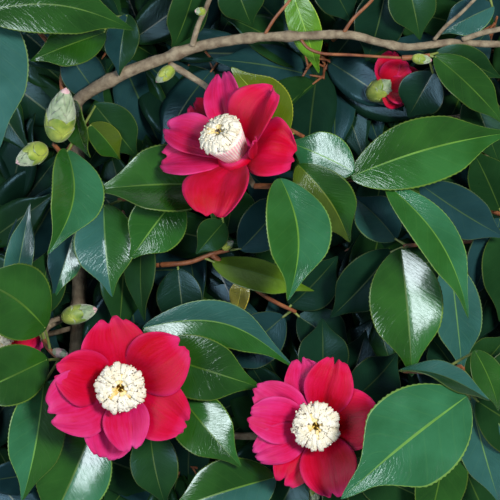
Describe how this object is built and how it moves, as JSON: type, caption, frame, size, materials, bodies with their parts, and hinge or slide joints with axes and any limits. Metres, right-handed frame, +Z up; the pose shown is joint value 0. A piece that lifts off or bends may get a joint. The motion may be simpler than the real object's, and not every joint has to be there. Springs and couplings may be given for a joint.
{
  "type": "cut flowering camellia branch",
  "caption": "Cut camellia branch lying flat, with a bent stem, boughs, glossy leaf shoots, open red blooms with white stamen centres, and buds.",
  "frame": {"origin": "on the surface the branch lies on, under the middle of its whole outline", "axes": "+Z up from the surface, +X to the right and +Y away, as the branch is seen from above with its cut end at the lower left"},
  "size_m": [0.3155, 0.3033, 0.1157],
  "materials": {
    "bark": "pale tan-grey bark, matt, finely cracked",
    "young_bark": "smooth red-brown young bark",
    "leaves": "glossy dark green leaves with pale midribs and paler undersides",
    "petals": "soft satin red petals with a pink sheen",
    "stamens": "creamy white stamens with fine dark tips",
    "buds": "lime-green and white scaled buds"
  },
  "bodies": {
    "root": {"bloom_1": "petals", "bloom_1_stamens": "stamens", "bloom_2": "petals", "bloom_2_stamens": "stamens", "bloom_3": "petals", "bloom_3_stamens": "stamens", "bloom_4": "petals", "bloom_4_stamens": "stamens", "bloom_5": "petals", "bough_bloom": "bark", "bough_buds": "bark", "bough_centre": "young_bark", "bough_corner": "young_bark", "bough_left": "bark", "bough_lower": "bark", "bough_middle": "bark", "bough_right": "bark", "bud_1": "buds", "bud_2": "buds", "bud_3": "buds", "shoot_bloom": "leaves", "shoot_buds": "leaves", "shoot_centre": "leaves", "shoot_corner": "leaves", "shoot_east": "leaves", "shoot_edge": "leaves", "shoot_far": "leaves", "shoot_left": "leaves", "shoot_lower": "leaves", "shoot_right": "leaves", "shoot_spread": "leaves", "shoot_tip": "leaves", "shoot_top_corner": "leaves", "shoot_top_left": "leaves", "shoot_top_middle": "leaves", "shoot_top_right": "leaves", "shoot_west": "leaves", "spread_1": "leaves", "spread_10": "leaves", "spread_11": "leaves", "spread_12": "leaves", "spread_2": "leaves", "spread_3": "leaves", "spread_4": "leaves", "spread_5": "leaves", "spread_6": "leaves", "spread_7": "leaves", "spread_8": "leaves", "spread_9": "leaves", "stem_lower": "bark", "stem_upper": "bark", "twig_bloom_4": "bark", "twig_bloom_5": "bark", "twig_bud": "bark", "twig_corner": "bark", "twig_fork": "bark", "twig_shoot": "young_bark", "twig_top_left": "bark", "twig_top_middle": "young_bark", "twig_top_right": "young_bark"}
  },
  "joints": []
}
